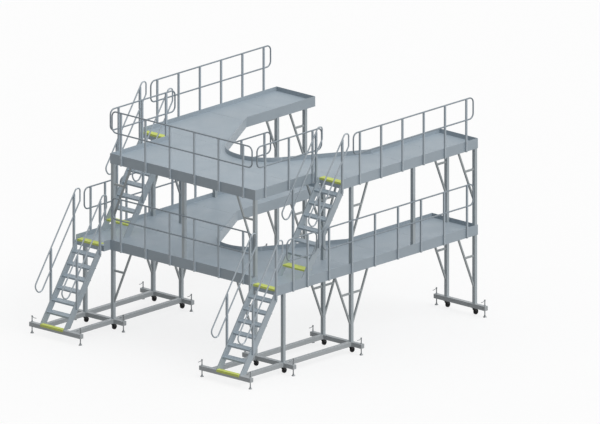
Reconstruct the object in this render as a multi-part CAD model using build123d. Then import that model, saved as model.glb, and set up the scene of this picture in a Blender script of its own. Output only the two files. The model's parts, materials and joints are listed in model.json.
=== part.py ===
from build123d import *
import os
from math import atan, cos, degrees, hypot, pi, radians, sin, tan

# Two-deck dock that stands round an aircraft's nose, on casters and screw jacks. Millimetres.
# X runs across the dock, Y from its closed front to its open rear, Z up from the floor.
# The halves mirror about X = 0. Y = 0 is the front row of columns until the parts are centred.

# Columns and their grid
column_size = 80
inner_line = 2115
outer_line = 2950
front_row = 0
middle_row = 2210
rear_row = 6230
outer_post_y = 4220

# Levels
lower_level = 1960
upper_level = 3940

# Base frame, its casters and its jacks
beam_size = 100
beam_underside = 155
stair_foot_row = -1400
jack_overhang = 302.5
sleeve_inboard = 50
sleeve_outboard = 45
jack_screw_radius = 14
jack_fit = 0.08
jack_foot_radius = 40
jack_foot_height = 45
jack_height = 400
crank_size = 14
crank_arm = 60
crank_fall = 35
crank_grip = 65
crank_turns = {"stair_left_outer": 90}
caster_plate_size = 100
caster_plate_thickness = 5
caster_running_gap = 0.3
wheel_radius = 62.5
wheel_width = 50
wheel_sides = 16
tyre_shoulder = 6
axle_radius = 6
axle_fit = 0.06
kingpin_radius = 8
kingpin_fit = 0.06
caster_trail = 36
fork_gap = 6
fork_thickness = 5
fork_leg_width = 40
fork_head_radius = 34
pin_sides = 8

# Deck build-up
plate_thickness = 6
joist_depth = 100
joist_width = 50
board_thickness = 10
toe_board_height = 100
board_drop = 130
panel_joint = 4
rung_pitch = 670

# Deck plans: where the edges lie, and the opening for the nose
lower_landing_edge = -250
upper_landing_edge = 1900
lower_nose_y = 1440
lower_nose_radius = 750
lower_rear_opening = 1630
upper_nose_y = 1800
upper_nose_radius = 958
upper_rear_opening = 1850
nose_splay = 30

# Where the floor plates meet, along the deck
lower_seams = (1250, 2290, 3520, 4900)
upper_seams = (1250, 2290, 4060, 5170)

# Guard rails
rail_radius = 17
rail_sides = 6
rail_height = 1100
rail_mid_height = 600
rail_corner_radius = 120
bend_steps = 3
post_size = 40
front_rail_inset = 60
side_rail_start = 26
narrow_rail_start = -35
rail_ahead_of_post = 70
rail_behind_post = 100
narrow_rail_past_landing = 200
side_rail_past_landing = 290
rail_rear_inset = 160

# Posts of each guard rail run: their number, and how far the first and last stand from the loop's ends
front_run_posts = {"count": 6, "first": 285, "last": 285}
lower_fore_run_posts = {"count": 2, "first": 224, "last": 310}
lower_side_run_posts = {"count": 7, "first": 216, "last": 216}
upper_narrow_run_posts = {"count": 3, "first": 285, "last": 310}
upper_side_run_posts = {"count": 6, "first": 230, "last": 240}

# Stairs
tread_depth = 210
tread_lip = 40
tread_gauge = 5
stringer_thickness = 30
stringer_depth = 165
stringer_above_nosing = 30
stair_post_gap = 5
nosing_depth = 150
nosing_thickness = 8
nosing_lip = 40
foot_plate_thickness = 15
foot_plate_lip = 55
stair_rises = 7
lower_stair_run = 1160
upper_stair_run = 1200
handrail_height = 1100
handrail_spacing = 490
handrail_corner_radius = 70
handrail_end_radius = 120
handrail_top_flat = 150
handrail_past_nosing = 170
handrail_slant = 165
lower_handrail_reach = 1320
upper_handrail_reach = 1175
upper_handrail_post = -50
lower_handrail_post = -800
handrail_post_drop = 140

# Knee braces
brace_size = 40
brace_reach = 500
brace_drop = 1180
strut_reach = 330

# Worked out from the sizes above
half_column = column_size / 2
half_beam = beam_size / 2
wheel_reach = wheel_radius / cos(pi / wheel_sides)
base_centre = (inner_line + outer_line) / 2
jack_span = outer_line - inner_line + 2 * jack_overhang
beam_top = beam_underside + beam_size
front_face = front_row - half_column - board_thickness
rear_face = rear_row + half_column + board_thickness
narrow_face = inner_line + half_column + board_thickness
side_face = outer_line + half_column + board_thickness
stair_inside = narrow_face + 2 * post_size + stair_post_gap + board_thickness
stair_outside = side_face - board_thickness
stair_centre = (stair_inside + stair_outside) / 2
stringer_offset = stair_outside - stair_centre
tread_width = 2 * (stringer_offset - stringer_thickness)
handrail_offset = side_face + post_size / 2 - stair_centre
lower_rise = (lower_level - beam_top - foot_plate_thickness) / stair_rises
upper_rise = (upper_level - lower_level) / (stair_rises + 1)
sides = (("left", -1), ("right", 1))
lines = (("inner", inner_line), ("outer", outer_line))
rows = (("front", front_row), ("middle", middle_row), ("rear", rear_row))
beam_rows = (("stair", stair_foot_row),) + rows
row_places = [y for _, y in rows]
upper_outer_places = [middle_row, outer_post_y, rear_row]


def block(x0, x1, y0, y1, z0, z1):
    """A rectangular solid between two corners."""
    return Pos((x0 + x1) / 2, (y0 + y1) / 2, (z0 + z1) / 2) * Box(abs(x1 - x0), abs(y1 - y0), abs(z1 - z0))


def plan_prism(points, z0, z1):
    """A solid with a polygon plan, from level z0 up to z1."""
    face = make_face(Polyline(*[(x, y, z0) for x, y in points], close=True))
    return extrude(face, amount=z1 - z0, dir=(0, 0, 1))


def side_prism(points, x0, x1):
    """A solid whose side view, in Y and Z, is a polygon, from x0 across to x1."""
    face = make_face(Polyline(*[(x0, y, z) for y, z in points], close=True))
    return extrude(face, amount=x1 - x0, dir=(1, 0, 0))


def front_prism(points, y0, y1):
    """A solid whose front view, in X and Z, is a polygon, from y0 back to y1."""
    face = make_face(Polyline(*[(x, y0, z) for x, z in points], close=True))
    return extrude(face, amount=y1 - y0, dir=(0, 1, 0))


def mirrored(solids):
    """The solids of the right half with their mirror images on the left."""
    return list(solids) + [mirror(solid, about=Plane.YZ) for solid in solids]


def drum(radius, z0, z1):
    """An upright cylinder on the Z axis."""
    return Pos(0, 0, (z0 + z1) / 2) * Cylinder(radius, z1 - z0)


def flats(radius, count):
    """A regular outline whose flats touch a circle of this radius, with one flat to the front."""
    return RegularPolygon(radius, count, major_radius=False, rotation=180 / count)


def bar(radius, count, z0, z1):
    """An upright bar with flats on the Z axis, its corners at this radius."""
    return Pos(0, 0, z0) * extrude(flats(radius * cos(pi / count), count), amount=z1 - z0, dir=(0, 0, 1))


def socket(radius, count, z0, z1):
    """The space for a bar with flats, its flats at this radius, cut right through from z0 to z1."""
    return Pos(0, 0, z0 - 1) * extrude(flats(radius, count), amount=z1 - z0 + 2, dir=(0, 0, 1))


# Deck plans


def deck_plan(front, narrow, landing, nose_y, nose_radius, opening):
    """The corners of a deck's edge, from the left end of the nose arc round to its right end.

    The deck lies to the left of the way round. Each edge after a corner says whether it has a toe board.
    """
    splay = radians(nose_splay)
    arc_x = nose_radius * cos(splay)
    arc_y = nose_y + nose_radius * (1 - sin(splay))
    knee_y = arc_y + (opening - arc_x) / tan(splay)
    half = [
        (narrow, front, True),
        (narrow, landing, False),
        (side_face, landing, True),
        (side_face, rear_face, True),
        (opening, rear_face, True),
        (opening, knee_y, True),
        (arc_x, arc_y, True),
    ]
    places = [(x, y) for x, y, _ in half]
    boards = [board for _, _, board in half[:-1]]
    left = [(-x, y) for x, y in reversed(places)]
    return {
        "corners": left + places,
        "boards": list(reversed(boards)) + [True] + boards,
        "landing": landing,
        "arc_centre": nose_y + nose_radius,
        "arc_radius": nose_radius,
    }


def inset_corners(corners, inset):
    """The corners of a line that runs beside the given one, to its left, with mitred corners."""
    normals = []
    for (x0, y0), (x1, y1) in zip(corners, corners[1:]):
        length = hypot(x1 - x0, y1 - y0)
        normals.append(((y0 - y1) / length, (x1 - x0) / length))
    befores = [normals[0]] + normals
    afters = normals + [normals[-1]]
    moved = []
    for (x, y), (ax, ay), (bx, by) in zip(corners, befores, afters):
        share = inset / (1 + ax * bx + ay * by)
        moved.append((x + (ax + bx) * share, y + (ay + by) * share))
    return moved


def nose_disc(plan, growth, z0, z1):
    """A round solid on the axis of the deck's nose arc."""
    return Pos(0, plan["arc_centre"], 0) * drum(plan["arc_radius"] + growth, z0, z1)


def deck_floor(plan, z0, z1):
    """The space inside the deck's edge boards."""
    inner = inset_corners(plan["corners"], board_thickness)
    return plan_prism(inner, z0, z1) - nose_disc(plan, board_thickness, z0 - 1, z1 + 1)


def deck_panels(plan, level, seams):
    """The deck's floor plates, in panels with an open joint between them and one along the middle."""
    z0 = level - plate_thickness
    half_joint = panel_joint / 2
    floor = deck_floor(plan, z0, level)
    floor -= block(-half_joint, half_joint, -side_face, side_face, z0 - 1, level + 1)
    for seam in seams:
        floor -= block(-side_face, side_face, seam - half_joint, seam + half_joint, z0 - 1, level + 1)
    return list(floor.solids())


def deck_boards(plan, level):
    """The straight boards round the deck. They stand above it as toe boards, but not at a stair's head."""
    outer = plan["corners"]
    inner = inset_corners(outer, board_thickness)
    boards = []
    for place, has_toe_board in enumerate(plan["boards"]):
        top = level + toe_board_height if has_toe_board else level
        corners = [outer[place], outer[place + 1], inner[place + 1], inner[place]]
        boards.append(plan_prism(corners, level - board_drop, top))
    return boards


def nose_board(plan, level):
    """The curved board round the front of the opening."""
    z0 = level - board_drop
    z1 = level + toe_board_height
    ring = nose_disc(plan, board_thickness, z0, z1) - nose_disc(plan, 0, z0 - 1, z1 + 1)
    centre = (0, plan["arc_centre"])
    reach = 2 * plan["arc_radius"]
    splay = radians(nose_splay)
    right = (reach * cos(splay), centre[1] - reach * sin(splay))
    wedge = plan_prism([centre, (-right[0], right[1]), (0, centre[1] - reach), right], z0, z1)
    return ring & wedge


# Deck frame


def rung_places(posts):
    """Where the rungs lie between the posts of a line, evenly spaced in each bay."""
    places = []
    for y0, y1 in zip(posts, posts[1:]):
        bays = round((y1 - y0) / rung_pitch)
        places += [y0 + (y1 - y0) * bay / bays for bay in range(1, bays)]
    return places


def long_joists(x, posts, start, z0, z1):
    """The joists along a column line: from the front board to the first post, and between the posts."""
    half = joist_width / 2
    ends = [(start, posts[0] - half_column)]
    ends += [(y0 + half_column, y1 - half_column) for y0, y1 in zip(posts, posts[1:])]
    return [block(x - half, x + half, y0, y1, z0, z1) for y0, y1 in ends if y1 > y0]


def seat(y, posts):
    """How far from a column line's middle a rung ends: at a post's face or at the joist's side."""
    return half_column if y in posts else joist_width / 2


def deck_joists(plan, level, outer_places, middle_post):
    """The joists under a deck: long ones on the column lines, and rungs across that end at the boards."""
    z1 = level - plate_thickness
    z0 = z1 - joist_depth
    half = joist_width / 2
    sides_only = long_joists(inner_line, row_places, front_face + board_thickness, z0, z1)
    sides_only += long_joists(outer_line, outer_places, plan["landing"] + board_thickness, z0, z1)
    for y in outer_places + rung_places(outer_places):
        ends = (inner_line + seat(y, row_places), outer_line - seat(y, outer_places))
        sides_only.append(block(*ends, y - half, y + half, z0, z1))
    space = deck_floor(plan, z0, z1)
    if middle_post:
        space -= column(0, front_row, z0 - 1, z1 + 1)
    across = []
    for y in row_places + rung_places(row_places):
        end = inner_line - seat(y, row_places)
        rung = block(-end, end, y - half, y + half, z0, z1) & space
        across += rung.solids()
    return mirrored(sides_only) + across


# Columns and braces


def columns_below():
    """The columns that carry the lower deck, from the base beams up to its plates."""
    solids = []
    for _, x in lines:
        for _, y in rows:
            solids.append(column(x, y, beam_top, lower_level - plate_thickness))
    return mirrored(solids)


def columns_above():
    """The columns that carry the upper deck, from the lower deck's plates up to its own."""
    places = [(inner_line, y) for y in row_places]
    places += [(outer_line, y) for y in upper_outer_places]
    solids = mirrored([column(x, y, lower_level, upper_level - plate_thickness) for x, y in places])
    return solids + [column(0, front_row, lower_level, upper_level - plate_thickness)]


def column(x, y, z0, z1):
    return block(x - half_column, x + half_column, y - half_column, y + half_column, z0, z1)


def knee_brace(soffit, direction):
    """The outlines of a brace and its strut, as distances from a column's middle and levels."""
    start = half_column
    end = half_column + brace_reach
    slope = brace_drop / brace_reach
    upright = brace_size / 2 * hypot(1, slope)
    level = brace_size / 2 * hypot(1, 1 / slope)
    foot = soffit - brace_drop
    brace = [(start, foot - upright), (end + level, soffit), (end - level, soffit), (start, foot + upright)]
    strut_z = foot + slope * (strut_reach - start)
    half = brace_size / 2
    low = strut_reach - level - half / slope
    high = strut_reach - level + half / slope
    strut = [(start, strut_z - half), (low, strut_z - half), (high, strut_z + half), (start, strut_z + half)]
    return [[(direction * a, z) for a, z in outline] for outline in (brace, strut)]


def braces_along(x, y, soffit, directions):
    """Knee braces in the line of a column row, fore and aft of a column."""
    half = brace_size / 2
    solids = []
    for direction in directions:
        for outline in knee_brace(soffit, direction):
            solids.append(side_prism([(y + a, z) for a, z in outline], x - half, x + half))
    return solids


def brace_across(x, y, soffit):
    """A knee brace from a column towards the dock's middle."""
    half = brace_size / 2
    solids = []
    for outline in knee_brace(soffit, -1):
        solids.append(front_prism([(x + a, z) for a, z in outline], y - half, y + half))
    return solids


def lower_braces():
    soffit = lower_level - plate_thickness - joist_depth
    solids = brace_across(inner_line, front_row, soffit)
    for _, x in lines:
        solids += braces_along(x, middle_row, soffit, (-1, 1))
        solids += braces_along(x, rear_row, soffit, (-1,))
    return mirrored(solids)


def upper_braces():
    soffit = upper_level - plate_thickness - joist_depth
    solids = brace_across(inner_line, front_row, soffit)
    solids += braces_along(inner_line, middle_row, soffit, (-1, 1))
    solids += braces_along(outer_line, middle_row, soffit, (1,))
    for _, x in lines:
        solids += braces_along(x, rear_row, soffit, (-1,))
    return mirrored(solids)


# Base frame


def base_cross_beams():
    reach = jack_span / 2 - sleeve_inboard
    solids = []
    for _, y in beam_rows:
        ends = (base_centre - reach, base_centre + reach)
        solids.append(block(*ends, y - half_beam, y + half_beam, beam_underside, beam_top))
    return mirrored(solids)


def base_long_rails():
    spans = ((stair_foot_row, front_row), (front_row, middle_row))
    solids = []
    for _, x in lines:
        for y0, y1 in spans:
            ends = (y0 + half_beam, y1 - half_beam)
            solids.append(block(x - half_beam, x + half_beam, *ends, beam_underside, beam_top))
    return mirrored(solids)


def jack_places():
    """Every jack as (name, x, y)."""
    places = []
    for row, y in beam_rows:
        for side, sign in sides:
            for end, outward in (("inner", -1), ("outer", 1)):
                x = sign * (base_centre + outward * jack_span / 2)
                places.append((f"{row}_{side}_{end}", x, y))
    return places


def caster_places():
    """Every caster as (name, x, y)."""
    places = []
    for row, y in rows:
        for side, sign in sides:
            for line, x in lines:
                places.append((f"{row}_{side}_{line}", sign * x, y))
    return places


def jack_sleeves():
    """The ends of the cross beams, each with its bore for a screw."""
    bore = socket(jack_screw_radius * cos(pi / pin_sides) + jack_fit, pin_sides, beam_underside, beam_top)
    end = block(-sleeve_inboard, sleeve_outboard, -half_beam, half_beam, beam_underside, beam_top) - bore
    solids = []
    for name, x, y in jack_places():
        outward = x > 0 if name.endswith("outer") else x < 0
        solids.append(Pos(x, y, 0) * (end if outward else mirror(end, about=Plane.YZ)))
    return solids


def caster_plates():
    """The plates that hold the casters under the beams, each with its kingpin hole."""
    half = caster_plate_size / 2
    z0 = beam_underside - caster_plate_thickness
    z1 = beam_underside
    plate = block(-half, half, -half, half, z0, z1) - socket(kingpin_radius + kingpin_fit, pin_sides, z0, z1)
    return [Pos(x, y, 0) * plate for _, x, y in caster_places()]


# Casters and jacks


def caster_fork():
    """The swivelling fork: a head with its kingpin, a crown, two legs and the axle."""
    head_top = beam_underside - caster_plate_thickness - caster_running_gap
    crown_bottom = wheel_radius + wheel_reach + fork_gap
    crown_top = crown_bottom + fork_thickness
    inside = wheel_width / 2 + fork_gap
    outside = inside + fork_thickness
    axle_y = caster_trail
    half_leg = fork_leg_width / 2
    crown = block(-outside, outside, -fork_head_radius, axle_y + half_leg, crown_bottom, crown_top)
    leg_outline = [
        (-fork_head_radius, crown_bottom),
        (axle_y - half_leg, wheel_radius - half_leg),
        (axle_y + half_leg, wheel_radius - half_leg),
        (axle_y + half_leg, crown_bottom),
    ]
    fork = crown + bar(fork_head_radius, pin_sides, crown_top, head_top)
    fork += bar(kingpin_radius, pin_sides, head_top, beam_underside - 2 * caster_running_gap)
    for x0, x1 in ((-outside, -inside), (inside, outside)):
        fork += side_prism(leg_outline, x0, x1)
    axle = Rot(0, 90, 0) * bar(axle_radius, pin_sides, -inside, inside)
    return fork + Pos(0, axle_y, wheel_radius) * axle


def caster_wheel():
    """The wheel: a tyre with bevelled shoulders and the axle's bore."""
    half = wheel_width / 2
    flank = half - tyre_shoulder
    tread = Pos(0, 0, -flank) * extrude(flats(wheel_radius, wheel_sides), amount=2 * flank, dir=(0, 0, 1))
    shoulder = Pos(0, 0, flank) * extrude(flats(wheel_radius, wheel_sides), amount=tyre_shoulder, taper=45)
    bore = socket(axle_radius + axle_fit, pin_sides, -half, half)
    wheel = tread + shoulder + mirror(shoulder, about=Plane.XY) - bore
    return Pos(0, caster_trail, wheel_radius) * Rot(0, 90, 0) * wheel


def screw_jack(turn):
    """A screw with its flared foot, and on top a bent crank that points forward, turned by some degrees."""
    screw_flat = jack_screw_radius * cos(pi / pin_sides)
    foot_flat = jack_foot_radius * cos(pi / pin_sides)
    flare = degrees(atan((foot_flat - screw_flat) / jack_foot_height))
    foot = extrude(flats(foot_flat, pin_sides), amount=jack_foot_height, taper=flare)
    return foot + bar(jack_screw_radius, pin_sides, jack_foot_height, jack_height) + Rot(0, 0, turn) * crank()


def crank():
    """The crank's arm, which falls away from the screw's top, and its level grip."""
    half = crank_size / 2
    top = jack_height
    low = top - crank_fall
    end = crank_arm + crank_grip
    outline = [
        (0, top),
        (0, top - crank_size),
        (-crank_arm, low - crank_size),
        (-end, low - crank_size),
        (-end, low),
        (-crank_arm, low),
    ]
    return side_prism(outline, -half, half)


# Guard rails


def bend(before, corner, after, radius):
    """The corners that take the place of one corner of a tube, in even steps round its bend."""
    back = (before - corner).normalized()
    ahead = (after - corner).normalized()
    turn = pi - radians(back.get_angle(ahead))
    centre = corner + (back + ahead).normalized() * (radius / cos(turn / 2))
    spoke = (corner + back * radius * tan(turn / 2) - centre) / cos(turn / bend_steps / 2)
    axis = Axis((0, 0, 0), ahead.cross(back))
    angles = [degrees(turn) * (step + 0.5) / bend_steps for step in range(bend_steps)]
    return [centre + spoke.rotate(axis, angle) for angle in angles]


def tube_loop(points, radii, across):
    """A closed loop of tube round a flat outline. Its section and its bends have flats in place of curves."""
    places = [Vector(*point) for point in points]
    corners = []
    for place, radius in enumerate(radii):
        corners += bend(places[place - 1], places[place], places[(place + 1) % len(places)], radius)
    start = (corners[-1] + corners[0]) / 2
    path = Polyline(start, *corners, start)
    along = corners[0] - corners[-1]
    section = Plane(origin=start, x_dir=along.cross(Vector(*across)), z_dir=along)
    return sweep(section * flats(rail_radius, rail_sides), path=path, transition=Transition.RIGHT)


def guard_run(start, end, posts):
    """One run of guard rail along X, with the deck's surface at Z = 0: its loop and its posts."""
    low = rail_mid_height
    high = rail_height - rail_radius
    ends = (start + rail_radius, end - rail_radius)
    corners = [(ends[0], 0, low), (ends[1], 0, low), (ends[1], 0, high), (ends[0], 0, high)]
    loop = tube_loop(corners, [rail_corner_radius] * len(corners), (0, 1, 0))
    half = post_size / 2
    stands = []
    for x in posts:
        stands.append(block(x - half, x + half, -half, half, -board_drop, low - rail_radius))
        stands.append(block(x - half, x + half, -half, half, low + rail_radius, high - rail_radius))
    return loop, stands


def place_run(level, run, place):
    """The loop and posts of one run, moved to the deck's level and to an edge."""
    loop, stands = guard_run(run["start"], run["end"], run["posts"])
    move = Pos(0, 0, level) * place
    return move * loop, [move * stand for stand in stands]


def rail_run(start, end, posts):
    """A run of guard rail: where its loop starts and ends, and where its posts stand."""
    first = start + posts["first"]
    pitch = (end - posts["last"] - first) / (posts["count"] - 1)
    return {"start": start, "end": end, "posts": [first + pitch * place for place in range(posts["count"])]}


stair_post_y = upper_landing_edge + lower_handrail_post
rail_rear_end = rear_face - rail_rear_inset
front_run = rail_run(front_rail_inset - narrow_face, narrow_face - front_rail_inset, front_run_posts)
lower_side_runs = (
    rail_run(side_rail_start, stair_post_y - rail_ahead_of_post, lower_fore_run_posts),
    rail_run(stair_post_y + rail_behind_post, rail_rear_end, lower_side_run_posts),
)
upper_narrow_run = rail_run(
    narrow_rail_start, upper_landing_edge + narrow_rail_past_landing, upper_narrow_run_posts
)
upper_side_run = rail_run(upper_landing_edge + side_rail_past_landing, rail_rear_end, upper_side_run_posts)


def guard_rails(level, narrow_runs, side_runs):
    """All guard rail loops and posts of a deck, as two lists."""
    half = post_size / 2
    front_loop, front_posts = place_run(level, front_run, Pos(0, front_face - half, 0))
    loops = []
    stands = []
    for x, runs in ((narrow_face + half, narrow_runs), (side_face + half, side_runs)):
        for run in runs:
            loop, posts = place_run(level, run, Pos(x, 0, 0) * Rot(0, 0, 90))
            loops.append(loop)
            stands += posts
    return [front_loop] + mirrored(loops), front_posts + mirrored(stands)


# Stairs


lower_flight = {
    "top": (lower_landing_edge, lower_level),
    "foot": beam_top,
    "rise": lower_rise,
    "run": lower_stair_run,
    "handrail_reach": lower_handrail_reach,
}
upper_flight = {
    "top": (upper_landing_edge, upper_level),
    "foot": lower_level,
    "rise": upper_rise,
    "run": upper_stair_run,
    "handrail_reach": upper_handrail_reach,
}


def stair(flight, first_step):
    """One stair with its yellow first step, and its mirror image, as lists of solids by kind."""
    top_y, top_z = flight["top"]
    rise = flight["rise"]
    run = flight["run"]
    slope = rise * stair_rises / run
    pitch = run / stair_rises
    half = tread_width / 2
    parts = {"stringers": [], "treads": [], "yellow": [], "handrails": [], "posts": []}
    outline = stringer_outline(top_y, top_z, flight["foot"], slope)
    for x0, x1 in ((-half - stringer_thickness, -half), (half, half + stringer_thickness)):
        parts["stringers"].append(side_prism(outline, stair_centre + x0, stair_centre + x1))
    for step in range(1, stair_rises):
        parts["treads"].append(tread(top_y - pitch * step, top_z - rise * step))
    parts["yellow"] += [nosing_strip(top_y, top_z), first_step]
    for side in (-1, 1):
        loop, stands = handrail(side, top_y, top_z, slope, flight["handrail_reach"])
        parts["handrails"].append(loop)
        parts["posts"] += stands
    return {kind: mirrored(solids) for kind, solids in parts.items()}


def stringer_outline(top_y, top_z, foot_z, slope):
    """A stringer's side: a band along the nosing line, cut level at its foot and upright at its head."""
    above = stringer_above_nosing
    below = stringer_depth * hypot(1, slope) - above
    return [
        (top_y + (foot_z - top_z - above) / slope, foot_z),
        (top_y - above / slope, top_z),
        (top_y, top_z),
        (top_y, top_z - below),
        (top_y + (foot_z - top_z + below) / slope, foot_z),
    ]


def tread(y, z):
    """A folded tread, open below, with its front edge at y and its surface at z."""
    back = y + tread_depth
    outline = [
        (y, z),
        (back, z),
        (back, z - tread_lip),
        (back - tread_gauge, z - tread_lip),
        (back - tread_gauge, z - tread_gauge),
        (y + tread_gauge, z - tread_gauge),
        (y + tread_gauge, z - tread_lip),
        (y, z - tread_lip),
    ]
    half = tread_width / 2
    return side_prism(outline, stair_centre - half, stair_centre + half)


def edge_angle(y, z, depth, thickness, lip):
    """An angle over an edge whose front face is at y: a leg with its surface at z, and a lip in front."""
    outline = [
        (y - nosing_thickness, z),
        (y + depth, z),
        (y + depth, z - thickness),
        (y, z - thickness),
        (y, z - lip),
        (y - nosing_thickness, z - lip),
    ]
    half = tread_width / 2
    return side_prism(outline, stair_centre - half, stair_centre + half)


def nosing_strip(y, z):
    """The angle that marks the edge of the deck at a stair's head."""
    return edge_angle(y, z + nosing_thickness, nosing_depth, nosing_thickness, nosing_lip + nosing_thickness)


def foot_plate():
    """The lowest step of a lower stair, an angle over the base beam."""
    z = beam_top + foot_plate_thickness
    return edge_angle(stair_foot_row - half_beam, z, beam_size, foot_plate_thickness, foot_plate_lip)


def first_tread():
    """The lowest step of an upper stair, a tread over the lower deck."""
    return tread(upper_landing_edge - upper_stair_run, upper_level - upper_rise * stair_rises)


def handrail(side, top_y, top_z, slope, reach):
    """A stair's handrail loop and its posts, beyond the stringer on one side of the stair."""
    x = stair_centre + side * handrail_offset
    rail_z = top_z + handrail_height
    flat_y = top_y + handrail_past_nosing - handrail_top_flat
    flat_z = rail_z + slope * (flat_y - top_y)
    end_y = top_y + handrail_past_nosing - rail_radius
    foot_y = top_y - reach
    corners = [
        (x, foot_y, rail_z + slope * (foot_y - top_y)),
        (x, flat_y, flat_z),
        (x, end_y, flat_z),
        (x, end_y, rail_z - handrail_spacing + slope * (end_y - top_y)),
        (x, foot_y + handrail_slant, rail_z - handrail_spacing + slope * (foot_y + handrail_slant - top_y)),
    ]
    radii = [handrail_end_radius] + [handrail_corner_radius] * 3 + [handrail_end_radius]
    loop = tube_loop(corners, radii, (1, 0, 0))
    thickness = rail_radius * hypot(1, slope)
    ends = sorted((stair_centre + side * stringer_offset, x + side * post_size / 2))
    stands = []
    for offset in (upper_handrail_post, lower_handrail_post):
        foot = top_z + slope * offset - handrail_post_drop
        top_rail = rail_z + slope * offset
        mid_rail = top_rail - handrail_spacing
        lower = post_outline(top_y + offset, slope, foot, 0, mid_rail - thickness)
        upper = post_outline(top_y + offset, slope, mid_rail + thickness, slope, top_rail - thickness)
        stands += [side_prism(outline, *ends) for outline in (lower, upper)]
    return loop, stands


def post_outline(y, head_slope, foot, foot_slope, head):
    """A length of handrail post whose head, and foot where it meets a rail, are cut to the rail's slope."""
    half = post_size / 2
    return [
        (y - half, foot - foot_slope * half),
        (y + half, foot + foot_slope * half),
        (y + half, head + head_slope * half),
        (y - half, head - head_slope * half),
    ]


# The whole dock

lower_plan = deck_plan(
    front_face, narrow_face, lower_landing_edge, lower_nose_y, lower_nose_radius, lower_rear_opening
)
upper_plan = deck_plan(
    front_face, narrow_face, upper_landing_edge, upper_nose_y, upper_nose_radius, upper_rear_opening
)


def dock_nodes():
    """Every node's solids, by the node's name."""
    lower_loops, lower_posts = guard_rails(lower_level, (), lower_side_runs)
    upper_loops, upper_posts = guard_rails(upper_level, (upper_narrow_run,), (upper_side_run,))
    lower_stairs = stair(lower_flight, foot_plate())
    upper_stairs = stair(upper_flight, first_tread())
    lower_joists = deck_joists(lower_plan, lower_level, row_places, False)
    upper_joists = deck_joists(upper_plan, upper_level, upper_outer_places, True)
    nodes = {
        "base_cross_beams": base_cross_beams(),
        "base_long_rails": base_long_rails(),
        "jack_sleeves": jack_sleeves(),
        "caster_plates": caster_plates(),
        "columns": columns_below() + columns_above(),
        "knee_braces": lower_braces() + upper_braces(),
        "deck_joists": lower_joists + upper_joists,
        "lower_deck_panels": deck_panels(lower_plan, lower_level, lower_seams),
        "upper_deck_panels": deck_panels(upper_plan, upper_level, upper_seams),
        "lower_edge_boards": deck_boards(lower_plan, lower_level),
        "upper_edge_boards": deck_boards(upper_plan, upper_level),
        "nose_boards": [nose_board(lower_plan, lower_level), nose_board(upper_plan, upper_level)],
        "lower_guard_rails": lower_loops,
        "upper_guard_rails": upper_loops,
        "guard_posts": lower_posts + upper_posts,
    }
    kinds = (
        ("stringers", "stair_stringers"),
        ("treads", "stair_treads"),
        ("yellow", "stair_nosings"),
        ("handrails", "stair_handrails"),
        ("posts", "handrail_posts"),
    )
    for kind, name in kinds:
        nodes[name] = lower_stairs[kind] + upper_stairs[kind]
    for name, x, y in caster_places():
        nodes[f"caster_fork_{name}"] = [Pos(x, y, 0) * caster_fork()]
        nodes[f"caster_wheel_{name}"] = [Pos(x, y, 0) * caster_wheel()]
    for name, x, y in jack_places():
        nodes[f"jack_{name}"] = [Pos(x, y, 0) * screw_jack(crank_turns.get(name, 0))]
    return nodes


nodes = dock_nodes()
whole = Compound([solid for solids in nodes.values() for solid in solids])
footprint_middle = whole.bounding_box().center().Y

os.makedirs("parts", exist_ok=True)
for name, solids in nodes.items():
    flat = [piece for solid in solids for piece in solid.solids()]
    export_step(Pos(0, -footprint_middle, 0) * Compound(flat), f"parts/{name}.step")
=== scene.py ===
import json
from math import cos, hypot, pi, radians, sin, tan

import bmesh
import bpy
from mathutils import Matrix, Vector


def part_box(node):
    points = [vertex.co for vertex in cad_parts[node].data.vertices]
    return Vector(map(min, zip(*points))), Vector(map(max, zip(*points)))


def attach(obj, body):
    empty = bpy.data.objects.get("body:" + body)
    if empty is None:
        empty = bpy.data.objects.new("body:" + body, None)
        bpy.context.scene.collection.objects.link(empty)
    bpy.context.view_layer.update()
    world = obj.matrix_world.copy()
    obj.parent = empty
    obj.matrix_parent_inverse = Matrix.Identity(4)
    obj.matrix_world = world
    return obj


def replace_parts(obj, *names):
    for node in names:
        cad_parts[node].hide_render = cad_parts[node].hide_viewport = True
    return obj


# Lengths are in metres and angles in degrees.
# X runs across the dock, Y from its closed front to its open rear, Z up from the floor.

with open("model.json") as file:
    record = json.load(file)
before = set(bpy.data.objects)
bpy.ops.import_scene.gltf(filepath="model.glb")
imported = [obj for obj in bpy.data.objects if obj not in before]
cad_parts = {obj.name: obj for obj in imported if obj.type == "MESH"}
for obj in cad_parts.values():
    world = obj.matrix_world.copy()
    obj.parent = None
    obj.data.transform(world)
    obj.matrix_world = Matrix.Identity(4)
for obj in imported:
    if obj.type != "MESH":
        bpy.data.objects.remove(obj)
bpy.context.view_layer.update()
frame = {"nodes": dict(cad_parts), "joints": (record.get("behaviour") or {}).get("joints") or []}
nodes = frame["nodes"]

# Places and sizes read from the frame
column_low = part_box("columns")[0]
beam_low, beam_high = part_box("base_long_rails")
wheel_low, wheel_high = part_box("caster_wheel_front_left_inner")
jack_nodes = sorted(name for name in nodes if name.startswith("jack_") and name != "jack_sleeves")
lower_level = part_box("lower_deck_panels")[1].z
wheel_width = wheel_high.x - wheel_low.x
wheel_radius = (wheel_high.z - wheel_low.z) / 2
jack_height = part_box(jack_nodes[0])[1].z

# Tubes and posts of the rails
rail_radius = 0.017
rail_corner = 0.12
handrail_corner = 0.07
handrail_end = 0.12
handrail_spacing = 0.49
handrail_top_flat = 0.15
handrail_slant = 0.165
handrail_past_nosing = 0.17
lower_handrail_reach = 1.32
upper_handrail_reach = 1.175
post_size = 0.04
notch_depth = 0.012
tube_sides = 20
bend_rings = 8

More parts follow.
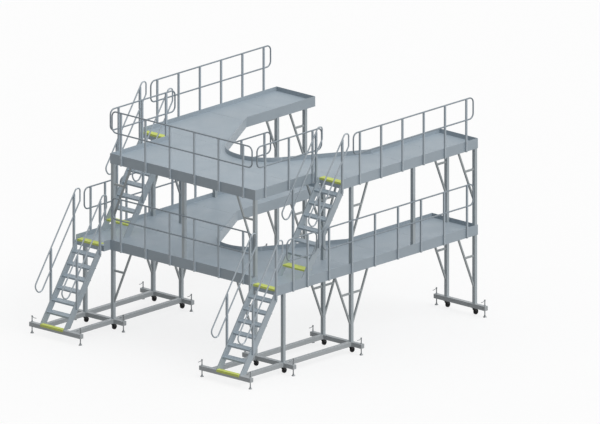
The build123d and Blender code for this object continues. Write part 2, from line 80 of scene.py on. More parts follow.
# Weld beads and bolts
bead_sides = 6
bead_radius = 0.0028
bead_ripple = 0.0006
bead_step = 0.005
bead_lift = 0.001
bead_angles = (18, 162)
bead_arc_steps = 6
washer_sides = 16
bolt_radius = 0.009
bolt_edge = 0.03
post_bolt_spacing = {"guard_posts": 0.17, "handrail_posts": 0.07}
tread_bolt_places = (0.045, 0.165)
tread_bolt_drop = 0.02
caster_bolt_radius = 0.0075
caster_bolt_place = 0.038

# Casters
wheel_sides = 48
race_sides = 40
pin_sides = 24
fork_arc_steps = 12
rim_radius = 0.046
rim_lip = 0.003
rim_wall = 0.004
rim_root = 0.006
web_thickness = 0.012
hub_radius = 0.014
hub_overhang = 0.003
hub_chamfer = 0.001
hub_taper = 0.001
rib_thickness = 0.004
rib_inset = 0.007
ribs = 6
fork_gap = 0.006
fork_thickness = 0.005
race_radius = 0.034
race_height = 0.0125
leg_radius = 0.018
leg_root = 0.008
leg_angle = 205
plate_gap = 0.0003
axle_radius = 0.006
bearing_fit = 0.0003
axle_bolt_radius = 0.0095
kingpin_radius = 0.0078
kingpin_reach = 0.0044
kingpin_head_radius = 0.012
kingpin_head_height = 0.0035

# Jacks
foot_sides = 40
head_sides = 32
crank_sides = 16
screw_radius = 0.0129
screw_fit = 0.0003
thread_depth = 0.0014
thread_pitch = 0.006
thread_sides = 16
foot_radius = 0.04
foot_height = 0.045
neck_radius = 0.019
head_radius = 0.0165
head_height = 0.028
crank_radius = 0.007
crank_arm = 0.06
crank_fall = 0.035
crank_grip = 0.065
crank_bend = 0.02
crank_root = 0.004
crank_edge = 0.002
boss_radius = 0.022
boss_chamfer = 0.0015
upper_boss_height = 0.018
lower_boss_height = 0.003

# Merging, bevels and shading
same_place = 0.00001
merge_distance = 0.00005
bevel_angle = 30
fork_bevel = 0.0006
notch_bevel = 0.002
rubbed_radius = 0.004
flat_smooth = 35
round_smooth = 60

# Colours, as linear red, green and blue
frame_colour = (0.345, 0.402, 0.448)
# Lighter than the frame paint, though it is the same grey-blue paint: painted light on the columns
column_colour_painted_light = (0.405, 0.450, 0.474)
brace_colour = (0.350, 0.380, 0.390)
base_colour = (0.400, 0.427, 0.443)
stair_colour = (0.380, 0.436, 0.475)
deck_colour = (0.348, 0.411, 0.463)
# Darker copy of the rails' one paint: painted shade on the guard rail tubes
rail_colour_painted_shade = (0.245, 0.288, 0.325)
# Lighter copy of the same rail paint: painted highlight on the stair handrail tubes
handrail_colour_painted_highlight = (0.390, 0.446, 0.492)
# Lighter copy of the same rail paint: painted light on the posts
post_colour_painted_light = (0.410, 0.468, 0.515)
yellow_colour = (0.62, 0.70, 0.17)
zinc_colour = (0.50, 0.52, 0.53)
fork_colour = (0.008, 0.008, 0.009)
hub_colour = (0.014, 0.014, 0.015)
jack_colour = (0.22, 0.235, 0.245)
rubber_colour = (0.005, 0.005, 0.006)
dust_colour = (0.42, 0.40, 0.37)
dirt_colour = (0.24, 0.25, 0.10)
bare_steel = (0.56, 0.58, 0.59)

# Light and floor
sun_direction = (0.36, 0.15, 0.50)
sun_angle = 30
key_strength = 0.32
fill_strength = 1.70
sky_strength = 0.43
floor_reach = 80
floor_tone = 0.35
floor_glow = 0.62
floor_roughness = 0.9
white = 1.0

# The photograph's view
view_azimuth = 42.5
view_elevation = 16.3
view_width = 13.187
view_height_aim = 2.297
view_depth_aim = 3.806
view_distance = 40


# Meshes as lists of points and faces


def moved(part, matrix):
    """A mesh with its points moved by a matrix."""
    points, faces = part
    return [matrix @ Vector(point) for point in points], faces


def joined(parts):
    """Several meshes as one."""
    points = []
    faces = []
    for some_points, some_faces in parts:
        start = len(points)
        points += some_points
        faces += [[start + corner for corner in face] for face in some_faces]
    return points, faces


def strips(first, second, sides):
    """The faces between two rings of points, each given by the number of its first point."""
    faces = []
    for side in range(sides):
        beside = (side + 1) % sides
        faces.append([first + side, first + beside, second + beside, second + side])
    return faces


def lathe(profile, sides):
    """A solid of revolution about Z with flat ends, from a profile of radius and height."""
    points = []
    for radius, height in profile:
        for side in range(sides):
            turn = 2 * pi * side / sides
            points.append((radius * cos(turn), radius * sin(turn), height))
    last = (len(profile) - 1) * sides
    faces = [list(reversed(range(sides)))]
    for ring in range(0, last, sides):
        faces += strips(ring, ring + sides, sides)
    return points, faces + [list(range(last, last + sides))]


def ring_lathe(profile, sides):
    """A ring about Z, whose section is a closed outline of radius and height."""
    points, faces = lathe(profile, sides)
    return points, faces[1:-1] + strips(len(points) - sides, 0, sides)


def prism(outline, low, high, across="X"):
    """A flat outline extruded from low to high: an outline of Y and Z along X, or of X and Y along Z."""
    count = len(outline)
    if across == "X":
        points = [(x, y, z) for x in (low, high) for y, z in outline]
    else:
        points = [(x, y, z) for z in (low, high) for x, y in outline]
    ends = [list(reversed(range(count))), list(range(count, 2 * count))]
    return points, ends + strips(0, count, count)


def arc(centre, radius, start, end, steps):
    """Points on a flat arc between two angles in degrees."""
    turns = [radians(start + (end - start) * step / steps) for step in range(steps + 1)]
    return [(centre[0] + radius * cos(turn), centre[1] + radius * sin(turn)) for turn in turns]


def bend(before, corner, after, radius):
    """Points along the arc that takes the place of a tube's corner."""
    back = (before - corner).normalized()
    ahead = (after - corner).normalized()
    turn = pi - back.angle(ahead)
    centre = corner + (back + ahead).normalized() * (radius / cos(turn / 2))
    spoke = corner + back * radius * tan(turn / 2) - centre
    axis = ahead.cross(back).normalized()
    step = turn / bend_rings
    return [centre + Matrix.Rotation(step * ring, 3, axis) @ spoke for ring in range(bend_rings + 1)]


def tube(line, radii, sides, normal, closed):
    """A round tube along a line of points, with a radius at each.

    The normal is across the tube at its start.
    """
    count = len(line)
    points = []
    for place, (point, radius) in enumerate(zip(line, radii)):
        before = line[place - 1] if closed or place else point
        after = line[(place + 1) % count] if closed or place < count - 1 else point
        along = (after - before).normalized()
        normal = (normal - along * normal.dot(along)).normalized()
        beside = normal.cross(along)
        for side in range(sides):
            turn = 2 * pi * side / sides
            points.append(point + (normal * cos(turn) + beside * sin(turn)) * radius)
    faces = []
    for place in range(count if closed else count - 1):
        faces += strips(place * sides, (place + 1) % count * sides, sides)
    if not closed:
        last = (count - 1) * sides
        faces += [list(reversed(range(sides))), list(range(last, last + sides))]
    return points, faces


def loop_tube(corners, radii, normal):
    """A closed loop of rail tube with a bend at each corner."""
    line = []
    for place, radius in enumerate(radii):
        line += bend(corners[place - 1], corners[place], corners[(place + 1) % len(corners)], radius)
    return tube(line, [rail_radius] * len(line), tube_sides, normal, True)


def bead(corners, normal):
    """A rippled weld bead along a closed line."""
    line = []
    for place, corner in enumerate(corners):
        after = corners[(place + 1) % len(corners)]
        steps = max(1, round((after - corner).length / bead_step))
        line += [corner.lerp(after, step / steps) for step in range(steps)]
    radii = [bead_radius + bead_ripple * (place % 2) for place in range(len(line))]
    return tube(line, radii, bead_sides, normal, True)


def bolt(radius):
    """A hexagon bolt's head on its washer, on Z = 0, in proportion to the radius to the head's corners."""
    washer = [(1.3, 0), (1.3, 0.18), (1.25, 0.22)]
    head = [(1, 0.2), (1, 0.83), (0.88, 0.95)]
    return joined([
        lathe([(radius * out, radius * up) for out, up in washer], washer_sides),
        lathe([(radius * out, radius * up) for out, up in head], 6),
    ])


def facing(place, direction):
    """The move of a mesh from Z = 0 to a place, with its Z axis along a direction."""
    turn = Vector(direction).to_track_quat("Z", "Y").to_matrix().to_4x4()
    return Matrix.Translation(place) @ turn


# Objects


def soften(obj, width):
    """Rounds an object's edges by a small bevel."""
    weld = obj.modifiers.new("weld", "WELD")
    weld.merge_threshold = merge_distance
    rounding = obj.modifiers.new("bevel", "BEVEL")
    rounding.width = width
    rounding.segments = 2
    rounding.limit_method = "ANGLE"
    rounding.angle_limit = radians(bevel_angle)
    rounding.use_clamp_overlap = True
    rounding.harden_normals = True


def piece(name, part, material, body, smooth=flat_smooth, bevel=0.0):
    """An object from a mesh that rides on a body. It is smooth across edges below an angle in degrees."""
    points, faces = part
    mesh = bpy.data.meshes.new(name)
    mesh.from_pydata([tuple(point) for point in points], [], faces)
    shaped = bmesh.new()
    shaped.from_mesh(mesh)
    bmesh.ops.recalc_face_normals(shaped, faces=shaped.faces)
    shaped.to_mesh(mesh)
    shaped.free()
    mesh.shade_smooth()
    mesh.set_sharp_from_angle(angle=radians(smooth))
    mesh.materials.append(material)
    obj = bpy.data.objects.new(name, mesh)
    bpy.context.scene.collection.objects.link(obj)
    if bevel:
        soften(obj, bevel)
    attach(obj, body)
    return obj


def solid_boxes(node):
    """The lowest and highest corner of each solid of a node."""
    shaped = bmesh.new()
    shaped.from_mesh(nodes[node].data)
    bmesh.ops.remove_doubles(shaped, verts=shaped.verts, dist=same_place)
    shaped.verts.index_update()
    seen = set()
    boxes = []
    for start in shaped.verts:
        if start.index in seen:
            continue
        seen.add(start.index)
        waiting = [start]
        low = start.co.copy()
        high = start.co.copy()
        while waiting:
            vertex = waiting.pop()
            low = Vector(map(min, low, vertex.co))
            high = Vector(map(max, high, vertex.co))
            for edge in vertex.link_edges:
                other = edge.other_vert(vertex)
                if other.index not in seen:
                    seen.add(other.index)
                    waiting.append(other)
        boxes.append((low, high))
    shaped.free()
    return boxes


# Materials


class Shading:
    """A material, with short calls for its nodes and links."""

    def __init__(self, name):
        self.material = bpy.data.materials.new(name)
        self.material.use_nodes = True
        self.tree = self.material.node_tree
        self.shader = self.tree.nodes["Principled BSDF"]
        self.place = self.new("ShaderNodeTexCoord").outputs["Object"]

    def new(self, kind, **settings):
        """A new node with its settings."""
        made = self.tree.nodes.new(kind)
        for key, value in settings.items():
            setattr(made, key, value)
        return made

    def link(self, value, socket):
        """Sets a socket to a number or colour, or links it to another node's output."""
        if isinstance(value, bpy.types.NodeSocket):
            self.tree.links.new(value, socket)
        else:
            socket.default_value = value

    def math(self, operation, *values):
        """The result of a math node."""
        made = self.new("ShaderNodeMath", operation=operation)
        for value, socket in zip(values, made.inputs):
            self.link(value, socket)
        return made.outputs[0]

    def ramp(self, value, start, end, low=0.0, high=1.0):
        """A value between start and end, mapped smoothly to low and high."""
        made = self.new("ShaderNodeMapRange", interpolation_type="SMOOTHSTEP")
        for socket, setting in zip(made.inputs, (value, start, end, low, high)):
            self.link(setting, socket)
        return made.outputs[0]

    def noise(self, scale, detail=3.0, rough=0.5):
        """Cloudy noise from zero to one, with a scale in clouds a metre."""
        made = self.new("ShaderNodeTexNoise")
        self.link(self.place, made.inputs["Vector"])
        made.inputs["Scale"].default_value = scale
        made.inputs["Detail"].default_value = detail
        made.inputs["Roughness"].default_value = rough
        return made.outputs["Fac"]

    def mix(self, share, first, second, blend="MIX"):
        """Two colours blended, with a share of the second."""
        made = self.new("ShaderNodeMix", data_type="RGBA", blend_type=blend)
        self.link(share, made.inputs["Factor"])
        colours = [socket for socket in made.inputs if socket.type == "RGBA"]
        for value, socket in zip((first, second), colours):
            self.link((*value, 1) if isinstance(value, tuple) else value, socket)
        return [socket for socket in made.outputs if socket.type == "RGBA"][0]

    def clouded(self, colour, noise, low, high):
        """A colour that noise makes darker and lighter, between two shares of itself."""
        return self.mix(1.0, colour, self.ramp(noise, 0.3, 0.7, low, high), "MULTIPLY")

    def stained(self, base, stain, mask, share):
        """A base with a share of a stain's colour where the mask is one."""
        return self.mix(self.math("MULTIPLY", mask, share), base, stain)

    def axes(self, vector):
        """The three parts of a vector."""
        split = self.new("ShaderNodeSeparateXYZ")
        self.link(vector, split.inputs[0])
        return split.outputs

    def corners(self, radius):
        """One along the piece's corners and zero on its flats, by how far the normal turns there."""
        flat_cosine = 0.995
        corner_cosine = 0.9
        rounded = self.new("ShaderNodeBevel", samples=4)
        rounded.inputs["Radius"].default_value = radius
        flat = self.new("ShaderNodeNewGeometry").outputs["Normal"]
        product = self.new("ShaderNodeVectorMath", operation="DOT_PRODUCT")
        self.link(rounded.outputs[0], product.inputs[0])
        self.link(flat, product.inputs[1])
        return self.ramp(product.outputs["Value"], flat_cosine, corner_cosine)

    def bump(self, height, distance, strength, below=None):
        """A normal bent by a height of up to a distance, on top of another normal if there is one."""
        made = self.new("ShaderNodeBump")
        made.inputs["Strength"].default_value = strength
        made.inputs["Distance"].default_value = distance
        self.link(height, made.inputs["Height"])
        if below:
            self.link(below, made.inputs["Normal"])
        return made.outputs[0]

    def finish(self, colour, roughness, normal, metal=0.0):
        """The material, with its main values set."""
        self.link(colour, self.shader.inputs["Base Color"])
        self.link(roughness, self.shader.inputs["Roughness"])
        self.link(normal, self.shader.inputs["Normal"])
        self.shader.inputs["Metallic"].default_value = metal
        return self.material


def darker(colour, share):
    """A share of a colour."""
    return tuple(share * part for part in colour)


def painted(name, colour, roughness=0.45, wear=0.35, coat=0.0):
    """Satin paint on steel: slight tone changes, orange peel, rubbed corners and dust near the floor."""
    look = Shading(name)
    base = look.clouded(colour, look.noise(0.7, 4.0), 0.95, 1.04)
    smudge = look.ramp(look.noise(5.0, 5.0, 0.6), 0.52, 0.75)
    base = look.stained(base, darker(colour, 0.72), smudge, 0.10)
    near_floor = look.ramp(look.axes(look.place)["Z"], 0.5, 0.05)
    dusty = look.math("MULTIPLY", near_floor, look.ramp(look.noise(14.0, 5.0), 0.35, 0.75))
    base = look.stained(base, dust_colour, dusty, 0.18)
    patches = look.ramp(look.noise(22.0, 4.0), 0.45, 0.62)
    rubbed = look.math("MULTIPLY", look.corners(rubbed_radius), patches)
    base = look.stained(base, bare_steel, rubbed, wear)
    shine = look.ramp(look.noise(9.0), 0.3, 0.7, roughness - 0.05, roughness + 0.08)
    look.shader.inputs["Coat Weight"].default_value = coat
    look.shader.inputs["Coat Roughness"].default_value = 0.15
    return look.finish(base, shine, look.bump(look.noise(420.0, 2.0), 0.0002, 0.35))


def lozenges(look):
    """The height of a tread plate's pattern: lozenges that lie one way and the other in turn."""
    pitch = 0.03
    length = 0.42
    width = 0.12
    turned = look.new("ShaderNodeMapping")
    look.link(look.place, turned.inputs["Vector"])
    turned.inputs["Rotation"].default_value = (0, 0, pi / 4)
    turned.inputs["Scale"].default_value = (1 / pitch, 1 / pitch, 1)
    places = [look.axes(turned.outputs[0])[axis] for axis in "XY"]
    cells = [look.math("FLOOR", place) for place in places]
    inside = [look.math("SUBTRACT", look.math("FRACT", place), 0.5) for place in places]
    odd = look.math("MODULO", look.math("ABSOLUTE", look.math("ADD", *cells)), 2.0)
    reaches = []
    for along, across in (inside, inside[::-1]):
        long_part = look.math("POWER", look.math("DIVIDE", along, length), 2.0)
        wide_part = look.math("POWER", look.math("DIVIDE", across, width), 2.0)
        reaches.append(look.math("ADD", long_part, wide_part))
    one_way = look.math("MULTIPLY", reaches[0], look.math("SUBTRACT", 1.0, odd))
    return look.ramp(look.math("ADD", one_way, look.math("MULTIPLY", reaches[1], odd)), 1.0, 0.45)


def tread_plate():
    """Painted tread plate, scuffed by shoes, with its raised pattern rubbed brighter in places."""
    look = Shading("tread_plate")
    raised = lozenges(look)
    base = look.clouded(deck_colour, look.noise(0.6, 4.0), 0.96, 1.03)
    scuffs = look.ramp(look.noise(3.0, 6.0, 0.65), 0.55, 0.8)
    base = look.stained(base, darker(deck_colour, 0.75), scuffs, 0.12)
    trodden = look.math("MULTIPLY", raised, look.ramp(look.noise(1.8, 4.0), 0.45, 0.65))
    base = look.stained(base, bare_steel, trodden, 0.35)
    shine = look.ramp(look.noise(2.2, 4.0), 0.3, 0.7, 0.42, 0.55)
    grain = look.bump(look.noise(300.0, 2.0), 0.0002, 0.3)
    return look.finish(base, shine, look.bump(raised, 0.0018, 0.8, grain))


def grip_paint():
    """Matt non-slip paint: grit, and dirt where shoes land."""
    look = Shading("yellow_paint")
    base = look.clouded(yellow_colour, look.noise(4.0, 4.0), 0.92, 1.05)
    dirt = look.ramp(look.noise(16.0, 5.0, 0.65), 0.5, 0.8)
    base = look.stained(base, dirt_colour, dirt, 0.25)
    return look.finish(base, 0.72, look.bump(look.noise(520.0, 2.0, 0.7), 0.0006, 0.7))


def steel(name, colour, roughness, metal, gloss=0.5):
    """Zinc, oiled or blackened steel: cloudy tone, darker spots and fine grain."""
    look = Shading(name)
    look.shader.inputs["Specular IOR Level"].default_value = gloss
    base = look.clouded(colour, look.noise(35.0, 5.0, 0.6), 0.82, 1.1)
    spots = look.ramp(look.noise(90.0, 4.0), 0.6, 0.75)
    base = look.stained(base, darker(colour, 0.4), spots, 0.2)
    shine = look.ramp(look.noise(60.0, 4.0), 0.3, 0.7, roughness - 0.08, roughness + 0.12)
    return look.finish(base, shine, look.bump(look.noise(300.0), 0.0002, 0.4), metal)


def rubber():
    """Dull black rubber with a little dust."""
    look = Shading("caster_rubber")
    look.shader.inputs["Specular IOR Level"].default_value = 0.2
    base = look.clouded(rubber_colour, look.noise(30.0, 4.0), 0.8, 1.3)
    dust = look.ramp(look.noise(70.0, 5.0, 0.65), 0.55, 0.8)
    base = look.stained(base, darker(dust_colour, 0.5), dust, 0.12)
    return look.finish(base, 0.62, look.bump(look.noise(600.0), 0.0003, 0.5))


frame_paint = painted("frame_paint", frame_colour)
# A lit copy of the frame paint: painted light on the columns and their welds
column_paint_with_painted_light = painted("column_paint_with_painted_light", column_colour_painted_light)
brace_paint = painted("brace_paint", brace_colour)
base_paint = painted("base_paint", base_colour, 0.5, 0.5)
stair_paint = painted("stair_paint", stair_colour)
# Guard rail tubes and post welds: the rails' paint darkened as painted shade
rail_paint = painted("rail_paint", rail_colour_painted_shade, 0.3)
# Stair handrail tubes: the rails' paint lightened as a painted highlight
handrail_paint_with_painted_highlight = painted("handrail_paint_with_painted_highlight", handrail_colour_painted_highlight, 0.24, coat=0.6)
# Posts and their notched ends: the rails' paint lightened as painted light
post_paint_with_painted_light = painted("post_paint_with_painted_light", post_colour_painted_light, 0.4)
deck_paint = tread_plate()
edge_paint = grip_paint()
zinc = steel("zinc", zinc_colour, 0.38, 0.85)
fork_steel = steel("fork_steel", fork_colour, 0.42, 0.0, 0.25)
hub_steel = steel("hub_steel", hub_colour, 0.45, 0.0, 0.3)
jack_steel = steel("jack_steel", jack_colour, 0.4, 0.7)
tyre_rubber = rubber()

# Material and bevel of the nodes that keep their shape
kept = {
    "base_cross_beams": (base_paint, 0.006),
    "base_long_rails": (base_paint, 0.006),
    "jack_sleeves": (base_paint, 0.004),
    "caster_plates": (fork_steel, 0.0008),
    "columns": (column_paint_with_painted_light, 0.006),
    "knee_braces": (brace_paint, 0.003),
    "deck_joists": (frame_paint, 0.003),
    "lower_deck_panels": (deck_paint, 0),
    "upper_deck_panels": (deck_paint, 0),
    "lower_edge_boards": (frame_paint, 0.0015),
    "upper_edge_boards": (frame_paint, 0.0015),
    "nose_boards": (frame_paint, 0.0015),
    "guard_posts": (post_paint_with_painted_light, 0.003),
    "handrail_posts": (post_paint_with_painted_light, 0.003),
    "stair_stringers": (stair_paint, 0.003),
    "stair_treads": (deck_paint, 0.0015),
    "stair_nosings": (edge_paint, 0.002),
}
for name, (material, width) in kept.items():
    obj = nodes[name]
    obj.data.materials.clear()
    obj.data.materials.append(material)
    if width:
        soften(obj, width)


# Rails


def guard_loop(low, high):
    """The round tube of one guard rail loop, in the box of its solid."""
    middle = (low + high) / 2
    lift = Vector((0, 0, (high.z - low.z) / 2 - rail_radius))
    if high.x - low.x > high.y - low.y:
        reach = Vector(((high.x - low.x) / 2 - rail_radius, 0, 0))
        normal = Vector((0, 1, 0))
    else:
        reach = Vector((0, (high.y - low.y) / 2 - rail_radius, 0))
        normal = Vector((1, 0, 0))
    corners = [middle - reach - lift, middle + reach - lift, middle + reach + lift, middle - reach + lift]
    return loop_tube(corners, [rail_corner] * 4, normal)


def handrail_loop(low, high, slope, reach):
    """The round tube of one handrail loop. Its head is in the upper rear corner of its solid's box."""
    x = (low.x + high.x) / 2
    end_y = high.y - rail_radius
    top_z = high.z - rail_radius
    flat_y = high.y - handrail_top_flat
    foot_y = high.y - handrail_past_nosing - reach
    slant_y = foot_y + handrail_slant

    def rail_z(y):
        return top_z + slope * (y - flat_y)

    corners = [
        Vector((x, foot_y, rail_z(foot_y))),
        Vector((x, flat_y, top_z)),
        Vector((x, end_y, top_z)),
        Vector((x, end_y, rail_z(end_y) - handrail_spacing)),
        Vector((x, slant_y, rail_z(slant_y) - handrail_spacing)),
    ]
    radii = [handrail_end] + [handrail_corner] * 3 + [handrail_end]
    return loop_tube(corners, radii, Vector((1, 0, 0)))


def stair_slope(above):
    """The slope of the upper stairs, or of the lower ones, from their treads."""
    treads = [(low, high) for low, high in solid_boxes("stair_treads") if (high.z > lower_level) == above]
    edges = [(low.y, high.z) for low, high in treads]
    foot = min(edges)
    head = max(edges)
    return (head[1] - foot[1]) / (head[0] - foot[0])


slopes = {above: stair_slope(above) for above in (False, True)}
tread_low, tread_high = solid_boxes("stair_treads")[0]
stair_middle = abs(tread_low.x + tread_high.x) / 2


def rail_tubes():
    """Round tubes in place of every rail loop."""
    for node in ("lower_guard_rails", "upper_guard_rails"):
        loops = [guard_loop(low, high) for low, high in solid_boxes(node)]
        tubes = piece(f"{node}_tubes", joined(loops), rail_paint, "dock_frame", round_smooth)
        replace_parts(tubes, node)
    loops = []
    for low, high in solid_boxes("stair_handrails"):
        above = low.z > lower_level
        reach = upper_handrail_reach if above else lower_handrail_reach
        loops.append(handrail_loop(low, high, slopes[above], reach))
    tubes = piece("handrail_tubes", joined(loops), handrail_paint_with_painted_highlight, "dock_frame", round_smooth)
    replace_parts(tubes, "stair_handrails")


def notch(centre, along, slope, side):
    """A post's notched end round the tube through a centre, and the weld round it.

    The tube runs along a level direction and rises by a slope.
    The side is 1 where the post comes from below, and -1 where it comes from above.
    """
    across = Vector((-along.y, along.x, 0))
    half = post_size / 2

    def at(ahead, aside, depth):
        up = slope * ahead - side * depth * hypot(1, slope)
        return centre + along * ahead + across * aside + Vector((0, 0, up))

    square = [(-half, -half), (half, -half), (half, half), (-half, half)]
    depths = (rail_radius, rail_radius - notch_depth)
    points = [at(*corner, depth) for depth in depths for corner in square]
    block = points, [[3, 2, 1, 0], [4, 5, 6, 7]] + strips(0, 4, 4)
    hug = arc((0, 0), rail_radius + bead_lift, *bead_angles, bead_arc_steps)
    line = [at(half, *place) for place in hug] + [at(-half, *place) for place in reversed(hug)]
    return block, bead(line, Vector((0, 0, 1)))


def post_pairs(node):
    """The posts of a node as pairs of boxes: the lower length, and the one between the rails."""
    stands = {}
    for box in solid_boxes(node):
        middle = (box[0] + box[1]) / 2
        stands.setdefault((round(middle.x, 2), round(middle.y, 2)), []).append(box)
    pairs = []
    for boxes in stands.values():
        boxes.sort(key=lambda box: box[0].z)
        pairs += [boxes[place:place + 2] for place in range(0, len(boxes), 2)]
    return pairs


def post_details(node, on_stairs):
    """The notched ends, welds and bolts of a node's posts, as three lists."""
    notches = []
    welds = []
    bolts = []
    for (foot_low, foot_high), (top_low, top_high) in post_pairs(node):
        middle = (foot_low + foot_high) / 2
        in_front = middle.y < column_low.y and not on_stairs
        slope = slopes[foot_low.z > lower_level] if on_stairs else 0
        along = Vector((1, 0, 0)) if in_front else Vector((0, 1, 0))
        lift = rail_radius * hypot(1, slope) - slope * post_size / 2
        for z, side in ((foot_high.z + lift, 1), (top_low.z - lift, -1), (top_high.z + lift, 1)):
            block, line = notch(Vector((middle.x, middle.y, z)), along, slope, side)
            notches.append(block)
            welds.append(line)
        outward = Vector((0, -1, 0)) if in_front else side_facing(middle.x, on_stairs)
        for z in (foot_low.z + bolt_edge, foot_low.z + bolt_edge + post_bolt_spacing[node]):
            place = Vector((middle.x, middle.y, z)) + outward * post_size / 2
            bolts.append(moved(bolt(bolt_radius), facing(place, outward)))
    return notches, welds, bolts


def side_facing(x, on_stairs):
    """The way a side post's bolts face: away from the deck, or away from its stair."""
    outward = Vector((1, 0, 0)) if x > 0 else Vector((-1, 0, 0))
    return -outward if on_stairs and abs(x) < stair_middle else outward


# Fasteners and welds of the frame


def section(low, high, axis, level):
    """The corners of a box's section across an axis, at a level along it."""
    first, second = [other for other in range(3) if other != axis]
    corners = []
    for across, up in ((low, low), (high, low), (high, high), (low, high)):
        corner = Vector((0, 0, 0))
        corner[axis] = level
        corner[first] = across[first]
        corner[second] = up[second]
        corners.append(corner)
    return corners


def frame_welds():
    """Weld beads round the feet and heads of the columns, and round the ends of the base's long rails."""
    lines = []
    for low, high in solid_boxes("columns"):
        for level in (low.z, high.z):
            lines.append(bead(section(low, high, 2, level), Vector((0, 0, 1))))
    for low, high in solid_boxes("base_long_rails"):
        for level in (low.y, high.y):
            lines.append(bead(section(low, high, 1, level), Vector((0, 1, 0))))
    return lines


def tread_fixings():
    """Bolts through the stringers into the ends of each tread, but not where a handrail post stands."""
    posts = solid_boxes("handrail_posts")
    stringer_low, stringer_high = solid_boxes("stair_stringers")[0]
    thickness = stringer_high.x - stringer_low.x
    heads = []
    for low, high in solid_boxes("stair_treads"):
        for x, outward in ((low.x - thickness, -1), (high.x + thickness, 1)):
            for offset in tread_bolt_places:
                place = Vector((x, low.y + offset, high.z - tread_bolt_drop))
                if not any(close_to(place, post) for post in posts):
                    heads.append(moved(bolt(bolt_radius), facing(place, (outward, 0, 0))))
    return heads


def close_to(place, box):
    """Whether a place lies within a bolt's reach of a box."""
    low, high = box
    return all(low[axis] - bolt_edge < place[axis] < high[axis] + bolt_edge for axis in range(3))


def caster_fixings():
    """The bolts that hold the casters' plates to the beams."""
    heads = []
    for low, high in solid_boxes("caster_plates"):
        middle = (low + high) / 2
        for x in (-caster_bolt_place, caster_bolt_place):
            for y in (-caster_bolt_place, caster_bolt_place):
                place = Vector((middle.x + x, middle.y + y, low.z))
                heads.append(moved(bolt(caster_bolt_radius), facing(place, (0, 0, -1))))
    return heads


# Casters


def ball_race(low, high):
    """The swivel's two rings, one on the other."""
    outer = race_radius
    return lathe([
        (outer - 0.004, low),
        (outer, low + 0.0015),
        (outer, low + 0.0045),
        (outer - 0.003, low + 0.006),
        (outer - 0.003, high - 0.005),
        (outer, high - 0.004),
        (outer, high - 0.001),
        (outer - 0.001, high),
    ], race_sides)


def caster_fork(pin, axle):
    """A pressed fork with its ball race, kingpin and axle bolt, from the places of its kingpin and axle."""
    trail = axle.y - pin.y
    inside = wheel_width / 2 + fork_gap
    outside = inside + fork_thickness
    head_top = pin.z - plate_gap
    crown_top = head_top - race_height
    crown_low = crown_top - fork_thickness
    heel = trail + leg_radius
    crown = arc((0, 0), outside, 180, 360, fork_arc_steps) + [(outside, heel), (-outside, heel)]
    leg = [(-outside, crown_top), (-outside, crown_low - leg_root)]
    leg += arc((trail, axle.z), leg_radius, leg_angle, 360, fork_arc_steps) + [(heel, crown_top)]
    rod = lathe([(axle_radius, -outside), (axle_radius, outside)], pin_sides)
    kingpin_head = [
        (kingpin_head_radius / 2, crown_low - kingpin_head_height),
        (kingpin_head_radius - 0.001, crown_low - 0.002),
        (kingpin_head_radius, crown_low),
    ]
    parts = [
        ball_race(crown_top, head_top),
        lathe([(kingpin_radius, head_top), (kingpin_radius, pin.z + kingpin_reach)], pin_sides),
        lathe(kingpin_head, pin_sides),
        prism(crown, crown_low, crown_top, "Z"),
        prism(leg, -outside, -inside),
        prism(leg, inside, outside),
        moved(rod, facing((0, trail, axle.z), (1, 0, 0))),
    ]
    for side in (-1, 1):
        end = facing((side * outside, trail, axle.z), (side, 0, 0))
        parts.append(moved(bolt(axle_bolt_radius), end))
    return moved(joined(parts), Matrix.Translation((pin.x, pin.y, 0)))


def both_ways(half_outline):
    """An outline with its mirror image in height added, in order."""
    return half_outline + [(radius, -height) for radius, height in reversed(half_outline)]


def tyre():
    """The rubber tyre of a wheel about Z, with round shoulders and a slightly crowned tread."""
    half = wheel_width / 2
    return ring_lathe(both_ways([
        (rim_radius, -half + rim_lip),
        (rim_radius + 0.004, -half),
        (wheel_radius - 0.008, -half),
        (wheel_radius - 0.003, -half + 0.0035),
        (wheel_radius - 0.0006, -half + 0.009),
        (wheel_radius, -0.004),
    ]), wheel_sides)


def hub():
    """The hub of a wheel about Z: its rim, web, ribs and bearing boss."""
    half = wheel_width / 2
    wheel = ring_lathe(both_ways([
        (axle_radius + bearing_fit, -half - hub_overhang),
        (hub_radius - hub_chamfer, -half - hub_overhang),
        (hub_radius, -half - hub_overhang + hub_chamfer),
        (hub_radius + hub_taper, -web_thickness / 2),
        (rim_radius - rim_root, -web_thickness / 2),
        (rim_radius - rim_wall, -half + rim_lip),
        (rim_radius, -half + rim_lip),
    ]), wheel_sides)
    thin = rib_thickness / 2
    reach = rim_radius - rim_wall
    outline = [(hub_radius, -thin), (reach, -thin), (reach, thin), (hub_radius, thin)]
    rib = prism(outline, rib_inset - half, half - rib_inset, "Z")
    spread = [moved(rib, Matrix.Rotation(2 * pi * turn / ribs, 4, "Z")) for turn in range(ribs)]
    return joined([wheel] + spread)


def casters():
    """Detailed forks and wheels in place of every caster's nodes."""
    hinges = [joint for joint in frame["joints"] if joint["type"] == "hinge"]
    places = {joint["child"]: Vector(joint["pos_m"]) for joint in hinges}
    for fork in [child for child in places if child.startswith("caster_fork_")]:
        wheel = fork.replace("fork", "wheel")
        turn = facing(places[wheel], (1, 0, 0))
        shape = caster_fork(places[fork], places[wheel])
        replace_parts(piece(f"{fork}_shape", shape, fork_steel, fork, bevel=fork_bevel), fork)
        rolling = piece(f"{wheel}_tyre", moved(tyre(), turn), tyre_rubber, wheel)
        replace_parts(rolling, wheel)
        piece(f"{wheel}_hub", moved(hub(), turn), hub_steel, wheel)


# Jacks


